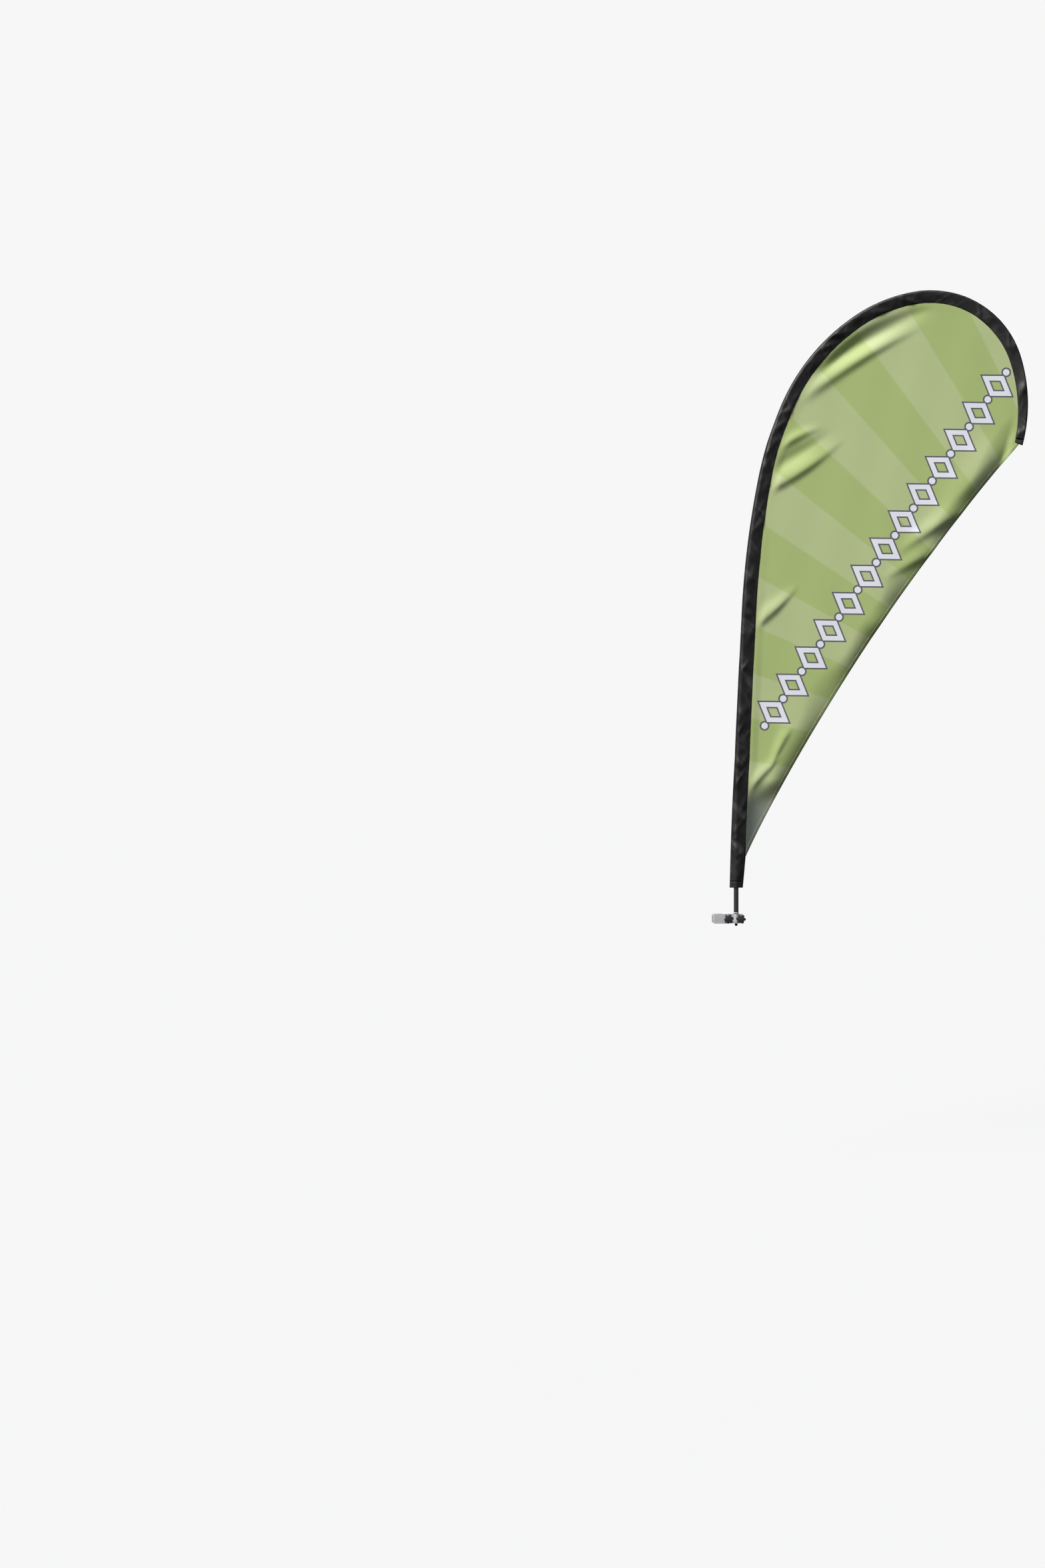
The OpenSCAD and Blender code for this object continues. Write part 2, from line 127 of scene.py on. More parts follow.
def read(table, s):
    return np.interp(s, table[0], table[1])


def pole_at(s):
    """Centreline x, z and heading (0 is up, positive leans to +X) at distances s along the pole."""
    s = np.atleast_1d(np.asarray(s, float))
    x, z, h = np.zeros_like(s), np.full_like(s, FOOT_Z), np.zeros_like(s)
    px, pz, ph, start = 0.0, FOOT_Z, 0.0, 0.0
    for i, (length, turn) in enumerate(ARCS):
        last = i == len(ARCS) - 1
        on = (s >= start) & ((s < start + length) | last)
        for run, where in ((s - start, on), (np.array([length]), None)):
            a = ph + math.radians(turn) * run / length
            if turn:
                r = length / math.radians(turn)
                nx, nz = px + r * (math.cos(ph) - np.cos(a)), pz + r * (np.sin(a) - math.sin(ph))
            else:
                nx, nz = px + run * math.sin(ph), pz + run * math.cos(ph)
            if where is not None:
                x[where], z[where], h[where] = nx[where], nz[where], a[where]
        px, pz, ph, start = float(nx[0]), float(nz[0]), float(a[0]), start + length
    return x + SPINDLE_X, z, h


def beside(s, u):
    """Points at distances s along the pole and u across it, u growing towards the panel."""
    x, z, h = pole_at(s)
    return x + u * np.cos(h), z - u * np.sin(h)


def seam_at(s, tuck=0.0):
    """Points on the sleeve's inner edge, or tuck metres inside the sleeve."""
    return beside(s, read(SLEEVE_WIDTH, s) - read(SLEEVE_OUTER, s) - tuck)


def trailing_circle():
    """Centre and radius of the circle that the hollow trailing edge lies on."""
    ax, az = (float(c[0]) for c in beside(*TRAIL_TOP))
    bx, bz = (float(c[0]) for c in seam_at(PANEL_START, -0.0003))
    a, b = np.array([ax, az]), np.array([bx, bz])
    half = np.linalg.norm(a - b) / 2
    r = (half ** 2 + TRAIL_HOLLOW ** 2) / (2 * TRAIL_HOLLOW)
    d = (b - a) / (2 * half)
    return a, b, (a + b) / 2 + (r - TRAIL_HOLLOW) * np.array([-d[1], d[0]]), r


TIP_CORNER, LOW_CORNER, TRAIL_CENTRE, TRAIL_R = trailing_circle()


def trailing_at(t, inset=0.0):
    """Points on the trailing edge, t from 0 at the lower corner to 1 at the tip."""
    a0 = math.atan2(*(LOW_CORNER - TRAIL_CENTRE)[::-1])
    a1 = math.atan2(*(TIP_CORNER - TRAIL_CENTRE)[::-1])
    a = a0 + (a1 - a0) * np.asarray(t, float)
    r = TRAIL_R + inset
    return TRAIL_CENTRE[0] + r * np.cos(a), TRAIL_CENTRE[1] + r * np.sin(a)


# ------------------------------------------------------------------ folds of the panel

# Creases that the pole's pull draws into the cloth: crest from (x, z) to (x, z), width of its slope
# towards the pole, width of its slope towards the free edge, height (minus for a valley) and bow.
FOLDS = (
    ((0.320, 1.920), (0.715, 2.160), 0.046, 0.018, 0.0105, 0.012),
    ((0.340, 2.000), (0.750, 2.232), 0.034, 0.038, -0.0145, 0.012),
    ((0.200, 1.715), (0.370, 1.803), 0.026, 0.013, 0.0072, 0.006),
    ((0.170, 1.570), (0.440, 1.745), 0.036, 0.015, 0.0090, -0.012),
    ((0.165, 1.640), (0.405, 1.780), 0.026, 0.026, -0.0066, -0.006),
    ((0.120, 1.070), (0.280, 1.212), 0.034, 0.015, 0.0082, -0.008),
    ((1.050, 1.745), (0.790, 1.440), 0.060, 0.040, 0.0058, 0.008),
    ((0.915, 1.510), (0.670, 1.352), 0.038, 0.020, 0.0082, 0.006),
    ((0.840, 1.372), (0.620, 1.255), 0.032, 0.017, 0.0068, 0.004),
    ((0.560, 1.050), (0.700, 1.160), 0.036, 0.020, 0.0060, 0.004),
    ((0.262, 0.700), (0.190, 0.550), 0.022, 0.013, 0.0052, 0.004),
    ((0.092, 0.455), (0.222, 0.590), 0.028, 0.015, 0.0066, 0.003),
)


def eased(t):
    t = np.clip(t, 0, 1)
    return t * t * (3 - 2 * t)


def seam_distance(x, z):
    """Distance from the sleeve's edge, minus inside the sleeve."""
    at = np.linspace(PANEL_START, PANEL_END, 900)
    sx, sz = seam_at(at)
    heading = pole_at(at)[2]
    px, pz = x.ravel(), z.ravel()
    out = np.empty(px.size)
    for i in range(0, px.size, 4000):
        dx, dz = px[i:i + 4000, None] - sx, pz[i:i + 4000, None] - sz
        near = (dx ** 2 + dz ** 2).argmin(1)
        pick = np.arange(near.size)
        out[i:i + 4000] = dx[pick, near] * np.cos(heading[near]) - dz[pick, near] * np.sin(heading[near])
    return out.reshape(x.shape)


def edge_distance(x, z):
    return np.hypot(x - TRAIL_CENTRE[0], z - TRAIL_CENTRE[1]) - TRAIL_R


def cloth_depth(x, z, settings):
    """How far the cloth stands behind (+) or in front (-) of the flag's plane."""
    x, z = np.asarray(x, float), np.asarray(z, float)
    from_seam = np.clip(seam_distance(x, z), 0, None)
    edge = edge_distance(x, z)
    y = np.zeros_like(x)
    for (x0, z0), (x1, z1), pole_side, free_side, height, bow in FOLDS:
        dx, dz = x1 - x0, z1 - z0
        long = math.hypot(dx, dz)
        along = ((x - x0) * dx + (z - z0) * dz) / long ** 2
        across = ((z - z0) * dx - (x - x0) * dz) / long * (1 if dx > 0 else -1)
        across = across - bow * 4 * along * (1 - along)
        fade = eased((along + 0.12) / 0.35) * eased((1.15 - along) / 0.7)
        spread = np.where(across > 0, pole_side, free_side) * (1.12 - 0.55 * np.clip(along, 0, 1))
        y -= settings.fold_height * height * fade * np.exp(-(across / spread) ** 2)
    # shallow billows and small creases
    y += settings.billow * (np.sin(3.1 * x + 1.3 * z + 0.4) * np.sin(2.3 * z - 1.7 * x))
    y += 0.0007 * np.sin(31 * x + 9 * z) * np.sin(17 * z - 5 * x + 1.1)
    # the free edge curls back, more in some places than in others
    ax, az = TIP_CORNER
    run = np.hypot(x - ax, z - az)
    reach = 0.072 + 0.016 * np.sin(run * 11.0 + 1.0) + 0.010 * np.sin(run * 23.0)
    curl = 0.94 + 0.12 * np.sin(run * 9.0 + 0.6)
    y += settings.edge_curl * curl * np.clip(1 - edge / reach, 0, 1.2) ** 2
    # the cloth runs flat into the seam and the tip
    seam_run, tip_run = 0.035, 0.05
    y *= eased(from_seam / seam_run) * eased(run / tip_run)
    # the narrow lower corner turns away as a whole
    corner_top, corner_run = 0.51, 0.10
    low = eased((corner_top - z) / corner_run)
    deep = settings.edge_curl * 1.45
    return y * (1 - low) + low * deep * np.tanh(0.62 * from_seam / deep)


# ------------------------------------------------------------------ meshes

def add_object(name, data):
    obj = bpy.data.objects.new(name, data)
    bpy.context.scene.collection.objects.link(obj)
    return obj


def new_piece(name, verts, faces, material, uv=None):
    """Mesh object at the origin from vertices in the flag's frame, in metres."""
    mesh = bpy.data.meshes.new(name)
    mesh.from_pydata([tuple(map(float, v)) for v in verts], [], [tuple(map(int, f)) for f in faces])
    mesh.update()
    turn = bmesh.new()
    turn.from_mesh(mesh)
    bmesh.ops.recalc_face_normals(turn, faces=turn.faces)
    turn.to_mesh(mesh)
    turn.free()
    if uv is not None:
        layer = mesh.uv_layers.new(name="cut")
        loops = np.empty(len(mesh.loops), dtype=np.int32)
        mesh.loops.foreach_get("vertex_index", loops)
        layer.data.foreach_set("uv", np.asarray(uv, np.float32)[loops].ravel())
    mesh.shade_smooth()
    mesh.materials.append(material)
    return add_object(name, mesh)


def tube_faces(rows, n, off=0, flip=False):
    i, j = np.meshgrid(np.arange(rows - 1), np.arange(n), indexing="ij")
    a, b = off + i * n + j, off + i * n + (j + 1) % n
    quads = np.stack([a, a + n, b + n, b], -1).reshape(-1, 4)
    return quads[:, ::-1] if flip else quads


def capped_tube_faces(rows, n, flip=False):
    ends = [tuple(range(n)), tuple(rows * n - 1 - i for i in range(n))]
    return [tuple(f) for f in tube_faces(rows, n, flip=flip)] + ends


def sheet_faces(rows, cols, turned):
    """Faces of a closed sheet: two grids, the turned one (0 or 1) the other way up, and their rim."""
    n = rows * cols
    i, j = np.meshgrid(np.arange(rows - 1), np.arange(cols - 1), indexing="ij")
    a = i * cols + j
    grid = np.stack([a, a + cols, a + cols + 1, a + 1], -1).reshape(-1, 4)
    grids = [grid, grid + n]
    grids[turned] = grids[turned][:, ::-1]
    ring = np.concatenate([np.arange(cols - 1), np.arange(rows - 1) * cols + cols - 1,
                           n - 1 - np.arange(cols - 1), (rows - 1 - np.arange(rows - 1)) * cols])
    rim = np.stack([ring, np.roll(ring, -1), np.roll(ring, -1) + n, ring + n], 1)
    return np.concatenate([*grids, rim])


# ------------------------------------------------------------------ shader groups

def node(tree, kind, **values):
    n = tree.nodes.new(kind)
    for key, value in values.items():
        setattr(n, key, value)
    return n


def feed(tree, value, socket):
    """Give a socket a number or a colour, or link it to another socket."""
    if isinstance(value, bpy.types.NodeSocket):
        tree.links.new(value, socket)
    elif isinstance(value, tuple):
        socket.default_value = (*value, 1.0)
    else:
        socket.default_value = value


def math_node(tree, op, *terms):
    n = node(tree, "ShaderNodeMath", operation=op)
    for socket, term in zip(n.inputs, terms):
        feed(tree, term, socket)
    return n.outputs[0]


def mix_colours(tree, factor, a, b):
    n = node(tree, "ShaderNodeMix", data_type="RGBA")
    for i, value in ((0, factor), (6, a), (7, b)):
        feed(tree, value, n.inputs[i])
    return n.outputs[2]


def split(tree, place):
    n = node(tree, "ShaderNodeSeparateXYZ")
    tree.links.new(place, n.inputs[0])
    return n.outputs


def noise(tree, place, scale, detail, rough=0.5, distortion=0.0):
    n = node(tree, "ShaderNodeTexNoise")
    values = (("Vector", place), ("Scale", scale), ("Detail", detail), ("Roughness", rough),
              ("Distortion", distortion))
    for key, value in values:
        feed(tree, value, n.inputs[key])
    return n.outputs[0]


def soft_step(tree, value, start, end):
    """0 before start and 1 past end, with a soft step between."""
    n = node(tree, "ShaderNodeMapRange", interpolation_type="SMOOTHSTEP")
    for key, number in (("From Min", start), ("From Max", end), ("Value", value)):
        feed(tree, number, n.inputs[key])
    return n.outputs[0]


def group_tree(name, numbers, outputs):
    """Shader group that takes a place and named numbers and puts out named numbers."""
    tree = bpy.data.node_groups.new(name, "ShaderNodeTree")
    tree.interface.new_socket("Place", in_out="INPUT", socket_type="NodeSocketVector")
    for label, default in numbers.items():
        socket = tree.interface.new_socket(label, in_out="INPUT", socket_type="NodeSocketFloat")
        socket.default_value = default
    for label in outputs:
        tree.interface.new_socket(label, in_out="OUTPUT", socket_type="NodeSocketFloat")
    given, out = node(tree, "NodeGroupInput").outputs, node(tree, "NodeGroupOutput").inputs
    return tree, given, out, partial(math_node, tree)


def knit_group():
    """Fine warp and weft of woven polyester, with uneven yarns."""
    g, given, out, calc = group_tree("yarn weave", {"Yarns per metre": 900.0}, ["Height"])
    turn = calc("MULTIPLY", given["Yarns per metre"], math.pi)
    warp, weft = (calc("ABSOLUTE", calc("SINE", calc("MULTIPLY", axis, turn)))
                  for axis in split(g, given["Place"])[:2])
    uneven = noise(g, given["Place"], 60, 3)
    height = calc("MULTIPLY", calc("ADD", warp, weft), 0.5)
    feed(g, calc("MULTIPLY_ADD", uneven, 0.3, height), out["Height"])
    return g


def handling_group():
    """Slow changes of shade and roughness, with fine grain on top, from handling and weather."""
    g, given, out, _ = group_tree("handling", {"Patch size": 4.0, "Grain size": 600.0},
                                  ["Shade", "Grain"])
    feed(g, noise(g, given["Place"], given["Patch size"], 4), out["Shade"])
    feed(g, noise(g, given["Place"], given["Grain size"], 2), out["Grain"])
    return g


def rays_group():
    """Broad printed rays that fan out from a point below the trailing edge."""
    g, given, out, calc = group_tree("printed rays", {"Ray width": math.radians(5)}, ["Mask"])
    x, z = split(g, given["Place"])[:2]
    angle = calc("ARCTAN2", calc("SUBTRACT", z, RAYS_FROM[1]), calc("SUBTRACT", RAYS_FROM[0], x))
    phase = calc("DIVIDE", calc("SUBTRACT", angle, FIRST_RAY), given["Ray width"])
    wave = calc("PINGPONG", calc("SUBTRACT", phase, 0.5), 1.0)
    feed(g, soft_step(g, wave, 0.47, 0.53), out["Mask"])
    return g


def row_group():
    """A plain repeating row of lozenges and discs, each with an outline, in a band across the panel."""
    g, given, out, calc = group_tree("printed row", {"Cells": 13.0, "Size": 0.060, "Outline": 0.006},
                                     ["Fill", "Line"])
    x, z = split(g, given["Place"])[:2]
    # p runs along the row and q across it
    dx, dz = ROW_TO[0] - ROW_FROM[0], ROW_TO[1] - ROW_FROM[1]
    long = math.hypot(dx, dz)
    ux, uz = dx / long, dz / long
    rx, rz = calc("SUBTRACT", x, ROW_FROM[0]), calc("SUBTRACT", z, ROW_FROM[1])
    p = calc("MULTIPLY_ADD", rx, ux, calc("MULTIPLY", rz, uz))
    q = calc("MULTIPLY_ADD", rz, ux, calc("MULTIPLY", rx, -uz))
    step = calc("DIVIDE", long, given["Cells"])
    half = calc("MULTIPLY", step, 0.5)

    def cell(shift):
        return calc("SUBTRACT", calc("FLOORED_MODULO", calc("ADD", p, shift), step), half)

    def sized(share):
        return calc("MULTIPLY", given["Size"], share)

    # hollow lozenges, with a disc between each two
    slope, corner, flatten, band, disc_share = 1.5, 0.84, 0.62, 0.16, 0.20
    lozenge = calc("MULTIPLY_ADD", calc("ABSOLUTE", cell(0.0)), slope, calc("ABSOLUTE", q))
    lozenge = calc("ABSOLUTE", calc("SUBTRACT", lozenge, sized(corner)))
    lozenge = calc("SUBTRACT", calc("MULTIPLY", lozenge, flatten), sized(band))
    pd = cell(half)
    disc = calc("SQRT", calc("MULTIPLY_ADD", pd, pd, calc("MULTIPLY", q, q)))
    disc = calc("SUBTRACT", disc, sized(disc_share))
    past = calc("MAXIMUM", calc("MULTIPLY", p, -1.0), calc("SUBTRACT", p, long))
    shape = calc("MINIMUM", calc("MAXIMUM", lozenge, past), disc)
    ends = calc("LESS_THAN", past, 0.03)
    soft = 0.0008
    for label, grown in (("Fill", shape), ("Line", calc("SUBTRACT", shape, given["Outline"]))):
        feed(g, calc("MULTIPLY", soft_step(g, grown, soft, -soft), ends), out[label])
    return g


def painted_sheen_group():
    """Soft slanting streaks of painted sheen on the black sleeve, lighter where its satin creases would catch
    the light.
    """
    g, given, out, calc = group_tree("painted sheen streaks", {"Slant": 0.9}, ["Mask"])
    along, across = split(g, given["Place"])[:2]
    slid = calc("MULTIPLY_ADD", across, given["Slant"], along)
    spot = node(g, "ShaderNodeCombineXYZ")
    feed(g, calc("MULTIPLY", slid, 21.0), spot.inputs[0])
    feed(g, calc("MULTIPLY", across, 9.0), spot.inputs[1])
    cloud = noise(g, spot.outputs[0], 1.0, 4, rough=0.6, distortion=0.5)
    feed(g, soft_step(g, cloud, 0.50, 0.78), out["Mask"])
    return g


GROUPS = {}


def use_group(tree, name, maker, **values):
    if name not in GROUPS:
        GROUPS[name] = maker()
    n = node(tree, "ShaderNodeGroup", node_tree=GROUPS[name])
    for key, value in values.items():
        feed(tree, value, n.inputs[key.replace("_", " ")])
    return n.outputs


def new_material(name, colour, rough, metal=0.0):
    m = bpy.data.materials.new(name)
    m.use_nodes = True
    shader = m.node_tree.nodes["Principled BSDF"]
    for key, value in (("Base Color", colour), ("Roughness", rough), ("Metallic", metal)):
        feed(m.node_tree, value, shader.inputs[key])
    m.diffuse_color = (*colour, 1)
    return m, m.node_tree, shader


def place_of(tree, uv=False):
    if uv:
        return node(tree, "ShaderNodeUVMap", uv_map="cut").outputs[0]
    return node(tree, "ShaderNodeTexCoord").outputs["Object"]


def bump(tree, shader, height, distance, strength):
    b = node(tree, "ShaderNodeBump")
    for key, value in (("Strength", strength), ("Distance", distance), ("Height", height)):
        feed(tree, value, b.inputs[key])
    tree.links.new(b.outputs[0], shader.inputs["Normal"])


def spread_rough(tree, shader, value, low, high):
    m = node(tree, "ShaderNodeMapRange")
    for key, number in (("To Min", low), ("To Max", high), ("Value", value)):
        feed(tree, number, m.inputs[key])
    tree.links.new(m.outputs[0], shader.inputs["Roughness"])


def dimmed(colour, share):
    return tuple(min(1, c * share) for c in colour)


def printed_cloth(name, s, deepen=0.0, row=True):
    """Printed polyester of the panel; deepen darkens it where two layers lie on each other."""
    light, dark = tuple(s.light_green), tuple(s.dark_green)
    m, t, sh = new_material(name, light, 0.62)
    place = place_of(t, uv=True)
    rays = use_group(t, "printed rays", rays_group, Place=place, Ray_width=math.radians(s.ray_width))
    base = mix_colours(t, rays["Mask"], light, dark)
    # painted shade: the print's colour runs to dark grey in the lower corner, where the narrow cloth turns
    # away from the light
    low = soft_step(t, split(t, place)[1], PAINTED_SHADE_BELOW[1], PAINTED_SHADE_BELOW[0])
    base = mix_colours(t, math_node(t, "MULTIPLY", low, 0.9), base, (0.195, 0.200, 0.198))
    wear = use_group(t, "handling", handling_group, Place=place, Patch_size=5.0, Grain_size=900.0)
    base = mix_colours(t, math_node(t, "MULTIPLY", wear["Shade"], 0.16), base, dimmed(dark, 0.72))
    if deepen:
        base = mix_colours(t, deepen, base, (0.16, 0.22, 0.09))
    if row:
        marks = use_group(t, "printed row", row_group, Place=place)
        base = mix_colours(t, marks["Line"], base, tuple(s.outline_grey))
        base = mix_colours(t, marks["Fill"], base, tuple(s.mark_grey))
    feed(t, base, sh.inputs["Base Color"])
    knit = use_group(t, "yarn weave", knit_group, Place=place, Yarns_per_metre=1100.0)
    bump(t, sh, knit["Height"], 0.00025, 0.35)
    spread_rough(t, sh, wear["Grain"], 0.42, 0.62)
    sh.inputs["Specular IOR Level"].default_value = 0.3
    sh.inputs["Sheen Weight"].default_value = 0.10
    sh.inputs["Sheen Roughness"].default_value = 0.35
    sh.inputs["Sheen Tint"].default_value = (0.9, 1.0, 0.75, 1)
    return m


def black_cloth(name, colour, yarns=1400.0, rough=(0.38, 0.6), wear_and_sheen=0.0):
    m, t, sh = new_material(name, colour, 0.5)
    place = place_of(t, uv=True)
    wear = use_group(t, "handling", handling_group, Place=place, Patch_size=9.0, Grain_size=500.0)
    lighter = tuple(min(1, c * 1.9 + 0.002) for c in colour)
    base = mix_colours(t, math_node(t, "MULTIPLY", wear["Shade"], 0.5), colour, lighter)
    # painted sheen: the streak mask lightens the black cloth to grey, standing in for the satin's highlights
    if wear_and_sheen:
        streaks = use_group(t, "painted sheen streaks", painted_sheen_group, Place=place)
        wear_and_sheen_share = math_node(t, "MULTIPLY", streaks["Mask"], wear_and_sheen)
        base = mix_colours(t, wear_and_sheen_share, base, (0.085, 0.085, 0.083))
    feed(t, base, sh.inputs["Base Color"])
    knit = use_group(t, "yarn weave", knit_group, Place=place, Yarns_per_metre=yarns)
    bump(t, sh, knit["Height"], 0.0003, 0.45)
    spread_rough(t, sh, wear["Grain"], *rough)
    sh.inputs["Specular IOR Level"].default_value = 0.5
    sh.inputs["Specular Tint"].default_value = (1.0, 0.93, 0.84, 1)
    return m


# ------------------------------------------------------------------ settings

def length_prop(name, text, value, low=0.0, high=1.0):
    return FloatProperty(name=name, description=text, default=value, min=low, max=high,
                         unit="LENGTH", subtype="DISTANCE", precision=4)


def colour_prop(name, text, value):
    return FloatVectorProperty(name=name, description=text, default=value, size=3, min=0.0, max=1.0,
                               subtype="COLOR")


class FlagPanelSettings(bpy.types.PropertyGroup):
    light_green: colour_prop("Light green", "Colour of the light rays", (0.440, 0.497, 0.238))
    dark_green: colour_prop("Dark green", "Colour of the dark rays", (0.371, 0.451, 0.162))
    mark_grey: colour_prop("Mark fill", "Colour of the printed row of marks", (0.72, 0.71, 0.75))
    outline_grey: colour_prop("Mark outline", "Colour of the line round the marks", (0.105, 0.102, 0.118))
    ray_width: FloatProperty(name="Ray width", description="Angle that one printed ray covers, in degrees",
                             default=5.0, min=2.0, max=20.0)
    cloth: length_prop("Cloth", "Thickness of the panel's cloth", 0.0006, 0.0002, 0.002)
    hem: length_prop("Hem", "Width of the trailing hem", 0.012, 0.005, 0.03)
    fold_height: FloatProperty(name="Fold height", description="How strongly the folds stand out",
                               default=1.0, min=0.0, max=2.0)
    edge_curl: length_prop("Edge curl", "How far the free edge curls back", 0.019, 0.0, 0.04)
    billow: length_prop("Billow", "Depth of the panel's slow waves", 0.004, 0.0, 0.02)


class SleeveSettings(bpy.types.PropertyGroup):
    cloth_black: colour_prop("Sleeve cloth", "Colour of the sleeve", (0.0045, 0.0045, 0.0045))
    pucker: length_prop("Pucker", "Height of the creases across the sleeve", 0.0036, 0.0, 0.004)
    seed: IntProperty(name="Seed", description="Picks where the creases fall", default=11, min=0)


class StitchSettings(bpy.types.PropertyGroup):
    stitch: length_prop("Stitch", "Length of one stitch", 0.0036, 0.001, 0.01)
    gap: length_prop("Gap", "Space between stitches", 0.0012, 0.0002, 0.01)
    thread: length_prop("Thread", "Thickness of the thread", 0.0005, 0.0003, 0.002)
    thread_green: colour_prop("Green thread", "Thread on the printed cloth", (0.05, 0.065, 0.032))
    thread_black: colour_prop("Black thread", "Thread on the black cloth", (0.013, 0.013, 0.014))


class HardwareSettings(bpy.types.PropertyGroup):
    zinc: colour_prop("Zinc", "Colour of the jaws and bolts", (0.90, 0.88, 0.85))
    knob_black: colour_prop("Knob", "Colour of the star knobs", (0.018, 0.018, 0.019))
    pole_black: colour_prop("Pole", "Colour of the pole sections", (0.020, 0.0195, 0.018))


class StageSettings(bpy.types.PropertyGroup):
    floor_drop: length_prop("Floor drop", "Height of the bracket above the ground", 0.96, 0.2, 3.0)
    distance: length_prop("Camera distance", "From the camera to the flag's plane", 6.9, 2.0, 30.0)
    lens: FloatProperty(name="Lens", description="Focal length of the camera", default=43.1, min=10, max=200,
                        unit="CAMERA")
    key: FloatProperty(name="Key light", description="Strength of the main light", default=5.9, min=0, max=20)
    paper: colour_prop("Backdrop", "Colour of the floor and the background", (0.93, 0.93, 0.93))


GROUPED = (("flag_panel_settings", FlagPanelSettings), ("sleeve_settings", SleeveSettings),
           ("stitch_settings", StitchSettings), ("hardware_settings", HardwareSettings),
           ("stage_settings", StageSettings))

# ------------------------------------------------------------------ panel and hem


def sew_panel(s):
    """The panel: a closed sheet from the sleeve's seam to the trailing hem, with its folds."""
    rows, cols = 468, 104
    # rows lie closer together where the creases are
    t = np.linspace(0, 1, 2001)
    crowd = np.cumsum(0.75 + 0.9 * np.exp(-((t - 0.52) / 0.17) ** 2))
    t = np.interp(np.linspace(crowd[0], crowd[-1], rows), crowd, t)
    along = PANEL_START + (PANEL_END - PANEL_START) * t
    sx, sz = seam_at(along, tuck=0.008)
    # each row ends on the trailing edge at a matching share of its length
    ex, ez = trailing_at(t ** 0.92, inset=0.003)
    v = np.linspace(0, 1, cols)[None, :]
    x = sx[:, None] + (ex - sx)[:, None] * v
    z = sz[:, None] + (ez - sz)[:, None] * v
    y = cloth_depth(x, z, s)
    flat = np.stack([x.ravel(), z.ravel()], 1)
    front = np.stack([x.ravel(), y.ravel() - s.cloth / 2, z.ravel()], 1)
    back = front + np.array([0, s.cloth, 0])
    return new_piece("flag_cloth", np.concatenate([front, back]), sheet_faces(rows, cols, turned=0),
                     printed_cloth("printed panel cloth", s), np.concatenate([flat, flat]))


def hem_swell(t):
    """Half thickness of the folded hem at share t of its length, thin at both corners."""
    taper = eased(t / 0.005) * eased((1 - t) / 0.005) * 0.5 + 0.5
    return (0.0009 + 0.00012 * np.sin(t * 277)) * taper


def sew_trailing_hem(s):
    """The trailing hem: the cloth's edge folded over, following the panel's curl."""
    rows, n = 420, 12
    t = np.linspace(0.0008, 0.9992, rows)
    verts, uv = [], []
    half_w = s.hem / 2
    for k in range(n):
        a = 2 * math.pi * k / n
        w = half_w * math.copysign(abs(math.cos(a)) ** 0.5, math.cos(a))
        x, z = trailing_at(t, inset=half_w + w + 0.0002)
        verts.append(np.stack([x, cloth_depth(x, z, s) + hem_swell(t) * math.sin(a), z], 1))
        uv.append(np.stack([x, z], 1))
    verts = np.stack(verts, 1).reshape(-1, 3)
    uv = np.stack(uv, 1).reshape(-1, 2)
    return new_piece("trailing_hem_cloth", verts, capped_tube_faces(rows, n),
                     printed_cloth("printed hem cloth", s, deepen=0.22, row=False), uv)


def on_flag(piece, cad_node):
    """The piece moves with the flag, and the CAD node that it stands for is hidden."""
    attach(piece, "flag")
    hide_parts(cad_node)


class FLAG_OT_sew_panel(bpy.types.Operator):
    """Sew the printed panel and its trailing hem"""

    bl_idname = "flag.sew_panel"
    bl_label = "Sew panel and hem"

    def execute(self, context):
        s = context.scene.flag_panel_settings
        on_flag(sew_panel(s), "flag_panel")
        on_flag(sew_trailing_hem(s), "trailing_hem")
        return {"FINISHED"}


# ------------------------------------------------------------------ sleeve


def sleeve_section(s, n=36):
    """The sleeve's outline at one distance along the pole: its points u, y and its reach each side."""
    a, w = float(read(SLEEVE_OUTER, s)), float(read(SLEEVE_WIDTH, s))
    r = float(read(POLE_ROOM, s)) + CLOTH_EASE
    b, e = w - a, SEAM_HALF
    t1 = math.pi - math.atan2(e, a) - math.acos(min(1, r / math.hypot(a, e)))
    t0 = math.atan2(e, b) + math.acos(min(1, r / math.hypot(b, e)))
    key = [(-a, 0.0), (-a, e)] + [(r * math.cos(t), r * math.sin(t)) for t in np.linspace(t1, t0, 9)]
    key += [(b, e), (b, 0.0)]
    key = np.array(key)
    run = np.concatenate([[0], np.cumsum(np.hypot(*np.diff(key, axis=0).T))])
    take = np.linspace(0, run[-1], n // 2 + 1)
    u, y = np.interp(take, run, key[:, 0]), np.interp(take, run, key[:, 1])
    return np.concatenate([u, u[-2:0:-1]]), np.concatenate([y, -y[-2:0:-1]]), (a, b)


def sleeve_creases(s, share, side, settings):
    """Height of the creases at distance s, share across the sleeve (0 fold, 1 seam), side front or back."""
    rnd = np.random.RandomState(settings.seed + side)
    h = np.zeros(np.broadcast(s, share).shape)
    for _ in range(120):
        at, lean = rnd.uniform(0.12, 3.35), rnd.uniform(-0.02, 0.09)
        width, high = rnd.uniform(0.008, 0.030), rnd.uniform(0.25, 1.0)
        mid, reach = rnd.uniform(0.15, 0.9), rnd.uniform(0.2, 0.5)
        h = h + high * np.exp(-((s - at - lean * (share - 0.5)) / width) ** 2) \
            * np.exp(-((share - mid) / reach) ** 2)
    h = h + 0.12 * np.sin(s * 210 + 9 * share) * np.sin(s * 47 + 3) * share ** 2
    return settings.pucker * h


def sleeve_lift(s, share, y, settings):
    """How far the creases raise the cloth off the smooth sleeve, at height y of its outline."""
    room = np.clip(np.abs(y) / 0.002, 0, 1) * 0.6 + 0.4
    front = sleeve_creases(s, share, 0, settings)
    back = sleeve_creases(s, share, 1, settings)
    return np.where(y <= 0, front, back) * room * eased((share + 0.02) / 0.12) * eased((1.0 - share) / 0.10)


